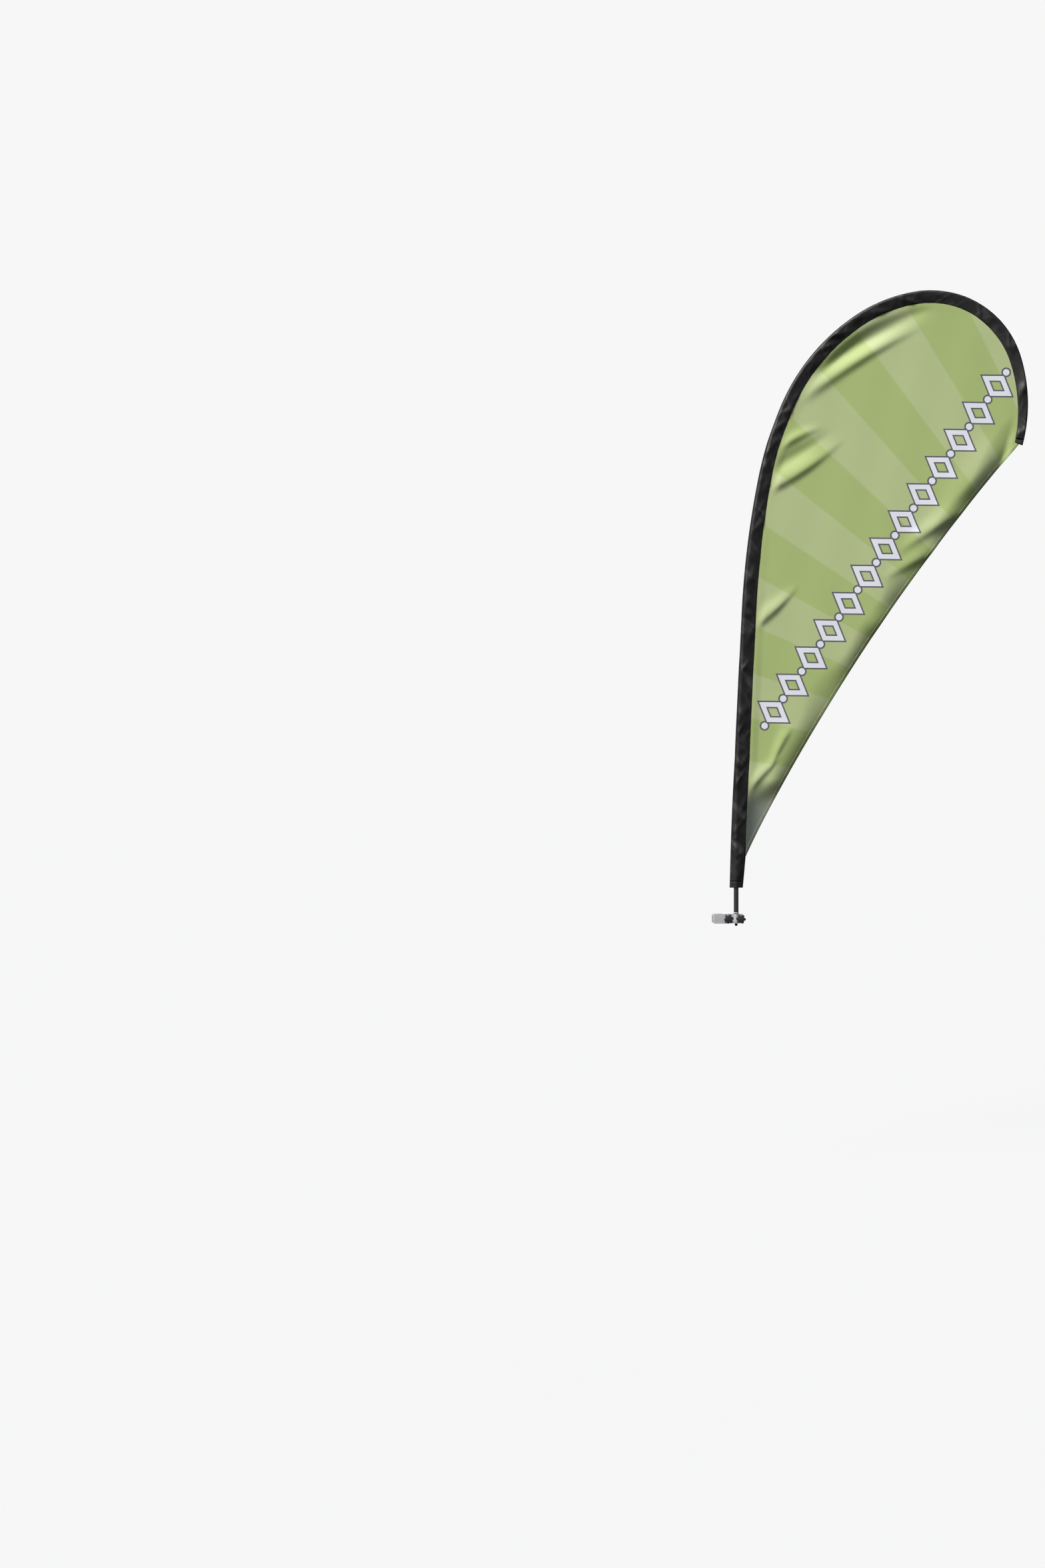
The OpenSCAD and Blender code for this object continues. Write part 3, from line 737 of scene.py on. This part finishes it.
def sew_tube(name, stops, settings, material, slant=0.0, creased=True, puff=0.0, close=False):
    """Cloth tube round the pole through the stops, open with a wall, or closed at both ends."""
    n = 36
    # the inside of the wall against the outside: share and shift across the sleeve, share through it
    wall_share, wall_shift, wall_thin = 0.93, 0.001, 0.80
    outer, inner, uv = [], [], []
    for s in stops:
        u, y, (a, b) = sleeve_section(s, n)
        share = (u + a) / (a + b)
        skew = slant * (0.5 - share) * eased((s - stops[0]) / (stops[-1] - stops[0] + 1e-9))
        lift = sleeve_lift(s, share, y, settings) if creased else np.zeros(n)
        sign = np.where(y <= 0, -1.0, 1.0)
        px, pz = beside(np.full(n, s) + skew, u)
        outer.append(np.stack([px, y + sign * (lift + puff * (np.abs(y) > 1e-6)), pz], 1))
        qx, qz = beside(np.full(n, s) + skew, u * wall_share + wall_shift)
        inner.append(np.stack([qx, (y + sign * lift) * wall_thin, qz], 1))
        uv.append(np.stack([np.full(n, s), share * (a + b) + (y > 0) * 0.1], 1))
    outer, inner, uv = np.concatenate(outer), np.concatenate(inner), np.concatenate(uv)
    rows, off = len(stops), len(outer)
    if close:
        return new_piece(name, outer, capped_tube_faces(rows, n, flip=True), material, uv)
    # a wall at each end joins the outside to the inside
    start, ahead = np.arange(n), np.roll(np.arange(n), -1)
    walls = [np.stack([a, b, off + b, off + a], 1) + end
             for a, b, end in ((start, ahead, 0), (ahead, start, off - n))]
    faces = np.concatenate([tube_faces(rows, n, flip=True), tube_faces(rows, n, off=off), *walls])
    return new_piece(name, np.concatenate([outer, inner]), faces, material, np.concatenate([uv, uv]))


class FLAG_OT_sew_sleeve(bpy.types.Operator):
    """Sew the black sleeve along the pole, its foot hem and its closed tip"""

    bl_idname = "flag.sew_sleeve"
    bl_label = "Sew sleeve"

    def execute(self, context):
        s = context.scene.sleeve_settings
        # the sleeve cloth carries painted sheen streaks
        cloth = black_cloth("sleeve cloth", tuple(s.cloth_black), wear_and_sheen=0.55)
        webbing = black_cloth("sleeve end cloth", tuple(s.cloth_black), 900.0, (0.45, 0.65))
        sleeve_stops = np.linspace(HEM_TOP - 0.0005, SLEEVE_TIP, 520)
        hem_stops = [SLEEVE_FOOT, SLEEVE_FOOT + 0.0006, *np.linspace(SLEEVE_FOOT + 0.002, HEM_TOP, 12)]
        tip_stops = np.linspace(SLEEVE_TIP - 0.0007, POCKET_TIP, 10)
        sleeve = sew_tube("sleeve_cloth", sleeve_stops, s, cloth)
        hem = sew_tube("sleeve_foot_hem", hem_stops, s, webbing, puff=0.0004)
        tip = sew_tube("tip_end_patch", tip_stops, s, webbing, slant=0.004, creased=False, puff=0.0002,
                       close=True)
        for piece, cad_node in ((sleeve, "pole_sleeve"), (hem, "sleeve_hem"), (tip, "tip_pocket")):
            on_flag(piece, cad_node)
        return {"FINISHED"}


# ------------------------------------------------------------------ loop and patch


def braid_cord(name, path, radius, material, sides=14, braid=0.05):
    """Round elastic cord along a path of points, with a braided surface, closed at both ends."""
    path = np.asarray(path, float)
    tangent = np.gradient(path, axis=0)
    tangent /= np.linalg.norm(tangent, axis=1)[:, None]
    side = np.array([0.0, 1.0, 0.0])
    run = np.concatenate([[0], np.cumsum(np.linalg.norm(np.diff(path, axis=0), axis=1))])
    angle = np.arange(sides) * 2 * math.pi / sides
    twist = 1500
    verts, uv = [], []
    for p, t, d in zip(path, tangent, run):
        other = np.cross(t, side)
        other /= np.linalg.norm(other)
        r = radius * (1 + braid * np.sin(2 * angle + d * twist) * np.sin(2 * angle - d * twist))
        verts.append(p + (r * np.cos(angle))[:, None] * other + (r * np.sin(angle))[:, None] * side)
        uv.append(np.stack([np.full(sides, d), angle * radius], 1))
    return new_piece(name, np.concatenate(verts), capped_tube_faces(len(path), sides, flip=True), material,
                     np.concatenate(uv))


class FLAG_OT_make_loop(bpy.types.Operator):
    """Make the elastic loop that pulls the sleeve down, and the patch that holds it"""

    bl_idname = "flag.make_loop"
    bl_label = "Make tension loop"

    def execute(self, context):
        lo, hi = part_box("elastic_loop")
        r = (hi[1] - lo[1]) / 2
        cx, cy = (lo[0] + hi[0]) / 2, (lo[1] + hi[1]) / 2
        half = (hi[0] - lo[0]) / 2 - r
        turn = lo[2] + r + half
        legs = np.linspace(hi[2], turn, 26)[:-1]
        path = [(cx - half, cy, z) for z in legs]
        path += [(cx - half * math.cos(a), cy, turn - half * math.sin(a))
                 for a in np.linspace(0, math.pi, 19)]
        path += [(cx + half, cy, z) for z in legs[::-1]]
        elastic = black_cloth("elastic braid", (0.012, 0.012, 0.013), 1800.0, (0.5, 0.7))
        on_flag(braid_cord("elastic_loop_braid", path, r, elastic), "elastic_loop")
        on_flag(self.sew_patch(context.scene.sleeve_settings), "loop_tab")
        return {"FINISHED"}

    def sew_patch(self, s):
        """Webbing patch, raised over the loop's two legs and thin at its edges."""
        lo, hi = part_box("loop_tab")
        loop_lo, loop_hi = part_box("elastic_loop")
        cx = (lo[0] + hi[0]) / 2
        leg = (loop_hi[0] - loop_lo[0]) / 2 - (loop_hi[1] - loop_lo[1]) / 2
        nx, nz = 37, 29
        gx, gz = np.meshgrid(np.linspace(lo[0], hi[0], nx), np.linspace(lo[2], hi[2], nz))
        edge = np.minimum(np.minimum(gx - lo[0], hi[0] - gx), np.minimum(gz - lo[2], hi[2] - gz))
        ridge = np.exp(-((np.abs(gx - cx) - leg) / 0.0027) ** 2)
        thin = 0.0012
        rise = (hi[1] - lo[1] - thin) * eased(edge / 0.0022 + 0.15) * (0.45 + 0.55 * ridge)
        flat = np.stack([gx.ravel(), gz.ravel()], 1)
        outer = np.stack([gx.ravel(), (lo[1] + thin + rise).ravel(), gz.ravel()], 1)
        inner = np.stack([gx.ravel(), np.full(gx.size, lo[1]), gz.ravel()], 1)
        webbing = black_cloth("patch webbing", dimmed(s.cloth_black, 1.3), 600.0, (0.55, 0.75))
        return new_piece("loop_patch", np.concatenate([outer, inner]), sheet_faces(nz, nx, turned=1),
                         webbing, np.concatenate([flat, flat]))


# ------------------------------------------------------------------ stitches


def stitch_tree():
    """Geometry Nodes: stitches laid along whatever edges the path object holds."""
    g = bpy.data.node_groups.new("stitch row", "GeometryNodeTree")
    sockets = (("Geometry", "Geometry", None), ("Stitch", "Float", 0.0036), ("Gap", "Float", 0.0012),
               ("Thread", "Float", 0.0005), ("Material", "Material", None))
    for label, kind, value in sockets:
        socket = g.interface.new_socket(label, in_out="INPUT", socket_type="NodeSocket" + kind)
        if value is not None:
            socket.default_value = value
    g.interface.new_socket("Geometry", in_out="OUTPUT", socket_type="NodeSocketGeometry")
    given = node(g, "NodeGroupInput").outputs

    def step(kind, settings=(), **links):
        made = node(g, kind)
        for key, value in settings:
            setattr(made, key, value)
        for label, value in links.items():
            feed(g, value, made.inputs[label])
        return made.outputs

    curve = step("GeometryNodeMeshToCurve", Mesh=given["Geometry"])
    pitch = math_node(g, "ADD", given["Stitch"], given["Gap"])
    points = step("GeometryNodeCurveToPoints", [("mode", "LENGTH")], Curve=curve[0], Length=pitch)
    ball = step("GeometryNodeMeshUVSphere", Segments=6, Rings=4, Radius=0.5)
    size = step("ShaderNodeCombineXYZ", X=given["Thread"], Y=given["Thread"], Z=given["Stitch"])
    laid = step("GeometryNodeInstanceOnPoints", Points=points["Points"], Instance=ball[0],
                Rotation=points["Rotation"], Scale=size[0])
    real = step("GeometryNodeRealizeInstances", Geometry=laid[0])
    painted = step("GeometryNodeSetMaterial", Geometry=real[0], Material=given["Material"])
    g.links.new(painted[0], node(g, "NodeGroupOutput").inputs[0])
    return g


def stitch_rows(name, rows, s, material):
    """One mesh of stitches along several rows of points."""
    verts, edges = [], []
    for row in rows:
        base = len(verts)
        verts += [tuple(map(float, p)) for p in row]
        edges += [(base + i, base + i + 1) for i in range(len(row) - 1)]
    mesh = bpy.data.meshes.new(name + "_path")
    mesh.from_pydata(verts, edges, [])
    path = add_object(name + "_path", mesh)
    mod = path.modifiers.new("stitches", "NODES")
    mod.node_group = bpy.data.node_groups.get("stitch row") or stitch_tree()
    values = {"Stitch": s.stitch, "Gap": s.gap, "Thread": s.thread, "Material": material}
    for item in mod.node_group.interface.items_tree:
        if item.in_out == "INPUT" and item.name in values:
            mod[item.identifier] = values[item.name]
    bpy.context.view_layer.update()
    graph = bpy.context.evaluated_depsgraph_get()
    made = bpy.data.meshes.new_from_object(path.evaluated_get(graph), preserve_all_data_layers=True,
                                           depsgraph=graph)
    if not made.polygons:
        raise RuntimeError(f"{name}: no stitches were made")
    bpy.data.objects.remove(path, do_unlink=True)
    made.name = name
    made.shade_smooth()
    return add_object(name, made)


def worn_finish(name, colour, wear_and_sheen, share, rough, sizes, relief, metal=0.0):
    """Finish whose colour runs towards a second colour in patches of wear, with fine grain; sizes are theirs.
    """
    m, t, sh = new_material(name, colour, rough, metal)
    wear = use_group(t, "handling", handling_group, Place=place_of(t), Patch_size=sizes[0],
                     Grain_size=sizes[1])
    wear_and_sheen_share = math_node(t, "MULTIPLY", wear["Shade"], share)
    feed(t, mix_colours(t, wear_and_sheen_share, colour, wear_and_sheen), sh.inputs["Base Color"])
    bump(t, sh, wear["Grain"], *relief)
    return m, t, sh, wear


def thread(name, colour):
    m, _, sh, _ = worn_finish(name, colour, dimmed(colour, 1.5), 0.4, 0.55, (30.0, 2500.0), (0.0002, 0.5))
    sh.inputs["Sheen Weight"].default_value = 0.2
    return m


def sleeve_surface(s, inset, side, settings):
    """Points on the sleeve's creased cloth, inset metres from its edge, side -1 front or 1 back."""
    width = read(SLEEVE_WIDTH, s)
    b = width - read(SLEEVE_OUTER, s)
    u = b - inset
    r = read(POLE_ROOM, s) + CLOTH_EASE
    tangent = np.arctan2(SEAM_HALF, b) + np.arccos(r / b)
    tu, ty = r * np.cos(tangent), r * np.sin(tangent)
    y = SEAM_HALF + (ty - SEAM_HALF) * (b - u) / (b - tu)
    y = y + sleeve_lift(s, 1 - inset / width, side * y, settings)
    x, z = beside(s, u)
    return np.stack([x, side * y, z], 1)


class FLAG_OT_sew_stitches(bpy.types.Operator):
    """Sew the rows of stitches on the sleeve and the hems"""

    bl_idname = "flag.sew_stitches"
    bl_label = "Sew stitches"

    def execute(self, context):
        sc = context.scene
        s, panel, sleeve = sc.stitch_settings, sc.flag_panel_settings, sc.sleeve_settings
        green = thread("green thread", tuple(s.thread_green))
        black = thread("black thread", tuple(s.thread_black))
        along = np.arange(HEM_TOP + 0.004, SLEEVE_TIP - 0.004, 0.004)
        rows = []
        for side in (-1, 1):
            for inset in (0.003, 0.009):
                p = sleeve_surface(along, inset, side, sleeve)
                p[:, 1] += side * 0.0002
                rows.append(p)
        seam = stitch_rows("seam_stitches", rows, s, black)
        t = np.linspace(0.015, 0.985, 700)
        rows = []
        for side in (-1, 1):
            x, z = trailing_at(t, inset=panel.hem - 0.0022)
            y = cloth_depth(x, z, panel) + side * (0.92 * hem_swell(t) + 0.0001)
            rows.append(np.stack([x, y, z], 1))
        trail = stitch_rows("trailing_stitches", rows, s, green)
        rows = []
        for at in (SLEEVE_FOOT + 0.004, HEM_TOP - 0.004):
            u, y, (a, b) = sleeve_section(at, 144)
            lift = sleeve_lift(at, (u + a) / (a + b), y, sleeve) + 0.0006
            x, z = beside(np.full(u.size, at), u)
            # one row on the front and one on the back, ending short of the folded edges
            inside = (u > 0.003 - a) & (u < b - 0.003)
            for face in (y < 0, y > 0):
                pick = inside & face
                rows.append(np.stack([x, y + np.sign(y) * lift, z], 1)[pick])
        foot = stitch_rows("foot_stitches", rows, s, black)
        for piece in (seam, trail, foot):
            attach(piece, "flag")
        return {"FINISHED"}


# ------------------------------------------------------------------ hardware finishes


def plated_metal(name, colour, rough, brushed=0.0, metal=1.0):
    m, t, sh, wear = worn_finish(name, colour, dimmed(colour, 0.72), 0.36, rough, (60.0, 1600.0),
                                 (0.0002, 0.12 + brushed), metal)
    spread_rough(t, sh, wear["Shade"], rough - 0.1, rough + 0.14)
    return m


def moulded_plastic(name, colour, rough, grain=0.3):
    light = tuple(min(1, c * 1.8 + 0.006) for c in colour)
    m, t, sh, wear = worn_finish(name, colour, light, 0.45, rough, (45.0, 2200.0), (0.00025, grain))
    spread_rough(t, sh, wear["Shade"], rough - 0.08, rough + 0.12)
    return m


def wound_tube(name, colour):
    """Glass-fibre tube under a clear coat: faint lengthwise strands."""
    m, t, sh = new_material(name, colour, 0.4)
    stretch = node(t, "ShaderNodeMapping")
    stretch.inputs["Scale"].default_value = (900, 900, 18)
    t.links.new(place_of(t), stretch.inputs["Vector"])
    strands = noise(t, stretch.outputs[0], 1.0, 3)
    shade = math_node(t, "MULTIPLY", strands, 0.6)
    feed(t, mix_colours(t, shade, colour, dimmed(colour, 2.2)), sh.inputs["Base Color"])
    spread_rough(t, sh, strands, 0.28, 0.5)
    bump(t, sh, strands, 0.0001, 0.25)
    sh.inputs["Coat Weight"].default_value = 0.3
    sh.inputs["Coat Roughness"].default_value = 0.25
    return m


def round_copy(node_name, name, material):
    """Copy of a solid with its faces joined, so that its round sides shade smoothly."""
    source = frame["nodes"][node_name]
    joined = bmesh.new()
    joined.from_mesh(source.data)
    bmesh.ops.remove_doubles(joined, verts=joined.verts, dist=1e-6)
    verts = [v.co[:] for v in joined.verts]
    joined.verts.index_update()
    faces = [[v.index for v in f.verts] for f in joined.faces]
    joined.free()
    copy = new_piece(name, verts, faces, material)
    copy.data.set_sharp_from_angle(angle=math.radians(40))
    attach(copy, source["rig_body"])
    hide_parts(node_name)
    return copy


class FLAG_OT_round_poles(bpy.types.Operator):
    """Make the pole's sections smooth and round"""

    bl_idname = "flag.round_poles"
    bl_label = "Round the pole"

    def execute(self, context):
        tube = wound_tube("wound pole tube", tuple(context.scene.hardware_settings.pole_black))
        for section in ("base", "lower_mid", "upper_mid"):
            round_copy(section + "_pole", section + "_pole_tube", tube)
        round_copy("tip_rod", "tip_pole_rod", tube)
        return {"FINISHED"}


class FLAG_OT_finish_hardware(bpy.types.Operator):
    """Give the bracket, knobs, spindle and pole fittings their finishes"""

    bl_idname = "flag.finish_hardware"
    bl_label = "Finish hardware"

    def execute(self, context):
        s = context.scene.hardware_settings
        zinc = plated_metal("zinc-plated steel", tuple(s.zinc), 0.42, metal=0.7)
        bright = plated_metal("turned spindle steel", (0.66, 0.67, 0.68), 0.24, brushed=0.1)
        bolt = plated_metal("bolt steel", (0.58, 0.59, 0.60), 0.32)
        brass = plated_metal("insert brass", (0.72, 0.52, 0.22), 0.3)
        alloy = plated_metal("ferrule alloy", (0.7, 0.71, 0.72), 0.3)
        knob = moulded_plastic("knob plastic", tuple(s.knob_black), 0.42)
        rubber = moulded_plastic("cap rubber", (0.012, 0.012, 0.012), 0.62, grain=0.5)
        nylon = moulded_plastic("white nylon", (0.74, 0.74, 0.71), 0.45, grain=0.15)
        black = moulded_plastic("black nylon", (0.016, 0.016, 0.017), 0.4)
        spigot = wound_tube("wound spigot rod", tuple(s.pole_black))
        finishes = (
            (zinc, "back_jaw front_jaw"),
            (bolt, "clamp_bolts knob_washers"),
            (knob, "left_knob right_knob"),
            (brass, "left_knob_insert right_knob_insert"),
            (bright, "spindle"),
            (rubber, "spindle_end_cap tip_cap"),
            (nylon, "thrust_washer"),
            (black, "foot_bush guide_bush loop_hook"),
            (alloy, "joint_1_ferrule joint_2_ferrule joint_3_ferrule"),
            (spigot, "joint_1_spigot joint_2_spigot joint_3_spigot"),
        )
        for finish, names in finishes:
            for name in names.split():
                slots = frame["nodes"][name].material_slots
                if not slots:
                    raise RuntimeError(f"{name} has no material slot")
                for slot in slots:
                    slot.material = finish
        return {"FINISHED"}


# ------------------------------------------------------------------ stage

# light that the surroundings throw on the flag
SKY_TINT, SKY_STRENGTH = (0.84, 0.94, 1.26), 0.24
# directions that the lamps shine from; the softbox stands at this distance from the flag's middle
KEY_FROM, FILL_FROM, SOFTBOX_FROM = (-0.47, -0.42, 0.77), (0.35, 0.80, 0.50), (-2.2, -4.5, 1.6)
CAMERA_X, CAMERA_Z = SPINDLE_X - 0.7855, 0.494

class FLAG_OT_set_stage(bpy.types.Operator):
    """Set the floor, the soft lights and the camera"""

    bl_idname = "flag.set_stage"
    bl_label = "Set stage"

    def execute(self, context):
        s = context.scene.stage_settings
        scene = context.scene
        reach = 60.0
        corners = [(x * reach, y * reach, -s.floor_drop) for x, y in ((-1, -1), (1, -1), (1, 1), (-1, 1))]
        new_piece("floor", corners, [(0, 1, 2, 3)], self.paper(s))
        world = bpy.data.worlds.new("studio")
        scene.world = world
        world.use_nodes = True
        t = world.node_tree
        t.nodes.clear()
        seen, felt = node(t, "ShaderNodeBackground"), node(t, "ShaderNodeBackground")
        path, mix = node(t, "ShaderNodeLightPath"), node(t, "ShaderNodeMixShader")
        out = node(t, "ShaderNodeOutputWorld")
        for value, socket in ((tuple(s.paper), seen.inputs[0]), (SKY_TINT, felt.inputs[0]),
                              (SKY_STRENGTH, felt.inputs[1]), (path.outputs["Is Camera Ray"], mix.inputs[0]),
                              (felt.outputs[0], mix.inputs[1]), (seen.outputs[0], mix.inputs[2]),
                              (mix.outputs[0], out.inputs[0])):
            feed(t, value, socket)
        lo, hi = CAD_BOX
        middle = Vector(((lo[0] + hi[0]) / 2, 0, (lo[2] + hi[2]) / 2))
        self.lamp("key light", "SUN", KEY_FROM, energy=s.key, angle=math.radians(22))
        self.lamp("back fill", "SUN", FILL_FROM, energy=s.key * 0.45, angle=math.radians(40))
        softbox = self.lamp("front softbox", "AREA", SOFTBOX_FROM, energy=14, size=1.4)
        softbox.location = middle + Vector(SOFTBOX_FROM)
        cam = bpy.data.cameras.new("camera")
        cam.lens = s.lens
        obj = add_object("camera", cam)
        obj.location = (CAMERA_X, -s.distance, CAMERA_Z)
        obj.rotation_euler = (math.pi / 2, 0, 0)
        scene.camera = obj
        scene.view_settings.view_transform = "Standard"
        return {"FINISHED"}

    def paper(self, s):
        m, t, sh = new_material("backdrop paper", dimmed(s.paper, 0.03), 0.9)
        sh.inputs["Specular IOR Level"].default_value = 0.0
        sh.inputs["Emission Color"].default_value = (*s.paper, 1)
        # the paper looks as bright as the background, but throws little light back on the flag
        path = node(t, "ShaderNodeLightPath")
        glow = math_node(t, "MULTIPLY", path.outputs["Is Camera Ray"], 0.935)
        t.links.new(glow, sh.inputs["Emission Strength"])
        return m

    def lamp(self, name, kind, shines_from, **values):
        data = bpy.data.lights.new(name, kind)
        for key, value in values.items():
            setattr(data, key, value)
        obj = add_object(name, data)
        obj.rotation_euler = Vector(shines_from).to_track_quat("Z", "Y").to_euler()
        return obj


# ------------------------------------------------------------------ panel and registration

STEPS = ("sew_panel", "sew_sleeve", "make_loop", "sew_stitches", "round_poles", "finish_hardware",
         "set_stage")


class FLAG_PT_build(bpy.types.Panel):
    """Lists the flag's steps"""

    bl_label = "Teardrop flag"
    bl_idname = "FLAG_PT_build"
    bl_space_type = "VIEW_3D"
    bl_region_type = "UI"
    bl_category = "Flag"

    def draw(self, context):
        for step in STEPS:
            self.layout.operator("flag." + step)


CLASSES = (FLAG_OT_sew_panel, FLAG_OT_sew_sleeve, FLAG_OT_make_loop, FLAG_OT_sew_stitches,
           FLAG_OT_round_poles, FLAG_OT_finish_hardware, FLAG_OT_set_stage, FLAG_PT_build)


def register():
    for name, group in GROUPED:
        bpy.utils.register_class(group)
        setattr(bpy.types.Scene, name, PointerProperty(type=group))
    for cls in CLASSES:
        bpy.utils.register_class(cls)


def unregister():
    for cls in reversed(CLASSES):
        bpy.utils.unregister_class(cls)
    for name, group in reversed(GROUPED):
        delattr(bpy.types.Scene, name)
        bpy.utils.unregister_class(group)


def main():
    register()
    for step in STEPS:
        getattr(bpy.ops.flag, step)()


if __name__ == "__main__":
    main()
